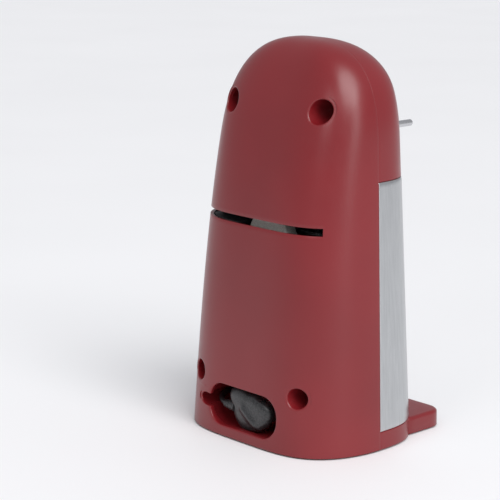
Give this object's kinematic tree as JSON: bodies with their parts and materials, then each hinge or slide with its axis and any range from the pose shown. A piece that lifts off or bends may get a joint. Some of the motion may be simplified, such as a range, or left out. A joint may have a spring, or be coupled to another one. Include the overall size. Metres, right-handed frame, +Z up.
{
  "type": "electric can opener",
  "caption": "Tall electric can opener with a wrapped steel front panel, lever-operated cutting head, rear knife and scissors sharpener slot and rear plug pocket.",
  "frame": {"origin": "centre of the footprint, on the plane the rubber feet stand on", "axes": "+Z up; -Y is the front with the cutting head, +Y the rear with the sharpener slot and plug pocket; +X is to the right seen from the front"},
  "size_m": [0.1358, 0.1119, 0.235],
  "materials": {
    "red_plastic": "satin moulded plastic",
    "switch_red": "moulded plastic",
    "steel_panel": "brushed along the width",
    "dark_plastic": "fine moulded texture",
    "foot_rubber": "matt",
    "screw_steel": "zinc plated",
    "plate_steel": "zinc plated sheet",
    "lamination_steel": "varnished laminations",
    "coil_winding": "varnished copper wire",
    "bearing_bronze": "sintered bronze",
    "shaft_steel": "ground steel",
    "grinding_stone": "fine white abrasive",
    "gear_plastic": "natural nylon",
    "gear_steel": "sintered steel",
    "lever_steel": "nickel plated",
    "magnet_ferrite": "ground ferrite",
    "cord_sheath": "soft black sheath",
    "blade_nickel": "nickel plated brass"
  },
  "bodies": {
    "housing": {"rear_housing": "red_plastic", "front_housing": "red_plastic", "front_panel": "steel_panel", "base_plate": "dark_plastic", "rubber_feet": "foot_rubber", "housing_screws": "screw_steel", "base_screws": "screw_steel", "chassis_plate": "plate_steel", "chassis_screws": "screw_steel", "motor_stator": "lamination_steel", "motor_coil": "coil_winding", "front_bracket": "plate_steel", "rear_bracket": "plate_steel", "motor_bearings": "bearing_bronze", "motor_screws": "screw_steel", "sharpener_guide": "dark_plastic", "gear_axles": "shaft_steel", "drive_bushing": "bearing_bronze", "guide_posts": "shaft_steel", "switch_body": "dark_plastic", "strain_relief": "cord_sheath", "power_cord": "cord_sheath", "cord_coil": "cord_sheath", "plug_body": "cord_sheath", "plug_blades": "blade_nickel"},
    "rotor_set": {"rotor": "lamination_steel", "motor_shaft": "shaft_steel", "motor_pinion": "bearing_bronze", "sharpening_wheel": "grinding_stone", "wheel_nut": "screw_steel"},
    "first_gear_set": {"first_gear": "gear_plastic"},
    "second_gear_set": {"second_gear": "gear_plastic"},
    "drive_set": {"drive_gear": "gear_steel", "drive_shaft": "shaft_steel", "drive_wheel": "gear_steel"},
    "lever": {"cutting_lever": "lever_steel", "lever_grip": "red_plastic", "lever_shaft": "shaft_steel", "switch_cam": "gear_plastic", "cutter_axle": "shaft_steel", "magnet_pin": "shaft_steel"},
    "cutter": {"cutting_wheel": "lever_steel"},
    "magnet_set": {"magnet_arm": "plate_steel", "magnet": "magnet_ferrite"},
    "plunger": {"switch_plunger": "switch_red"}
  },
  "joints": [
    {"name": "rotor_spin", "type": "hinge", "parent": "housing", "child": "rotor_set", "pos_m": [-0.003, 0, 0.12], "axis": [0, -1, 0], "continuous": true},
    {"name": "first_gear_spin", "type": "hinge", "parent": "housing", "child": "first_gear_set", "pos_m": [0.01666, -0.017, 0.13377], "axis": [0, -1, 0], "continuous": true},
    {"name": "second_gear_spin", "type": "hinge", "parent": "housing", "child": "second_gear_set", "pos_m": [-0.00616, -0.022, 0.14119], "axis": [0, -1, 0], "continuous": true},
    {"name": "drive_spin", "type": "hinge", "parent": "housing", "child": "drive_set", "pos_m": [0, -0.03, 0.1685], "axis": [0, -1, 0], "continuous": true},
    {"name": "lever_tilt", "type": "hinge", "parent": "housing", "child": "lever", "pos_m": [-0.014, -0.04238, 0.196], "axis": [0, -1, 0], "range_deg": [-4, 32], "stiffness_Nm_per_rad": 1},
    {"name": "cutter_spin", "type": "hinge", "parent": "lever", "child": "cutter", "pos_m": [0, -0.05138, 0.187], "axis": [0, -1, 0], "continuous": true},
    {"name": "magnet_lift", "type": "hinge", "parent": "lever", "child": "magnet_set", "pos_m": [0.0185, -0.04898, 0.202], "axis": [-1, 0, 0], "range_deg": [0, 60]},
    {"name": "plunger_slide", "type": "slide", "parent": "housing", "child": "plunger", "axis": [0, 0, 1], "range_m": [-0.00054, 0.00436]}
  ],
  "couplings": [
    {"joint": "first_gear_spin", "follows": "rotor_spin", "ratio": -0.25},
    {"joint": "second_gear_spin", "follows": "rotor_spin", "ratio": 0.0625},
    {"joint": "drive_spin", "follows": "rotor_spin", "ratio": -0.017045},
    {"joint": "plunger_slide", "follows": "lever_tilt", "m_per_rad": 0.0078}
  ]
}
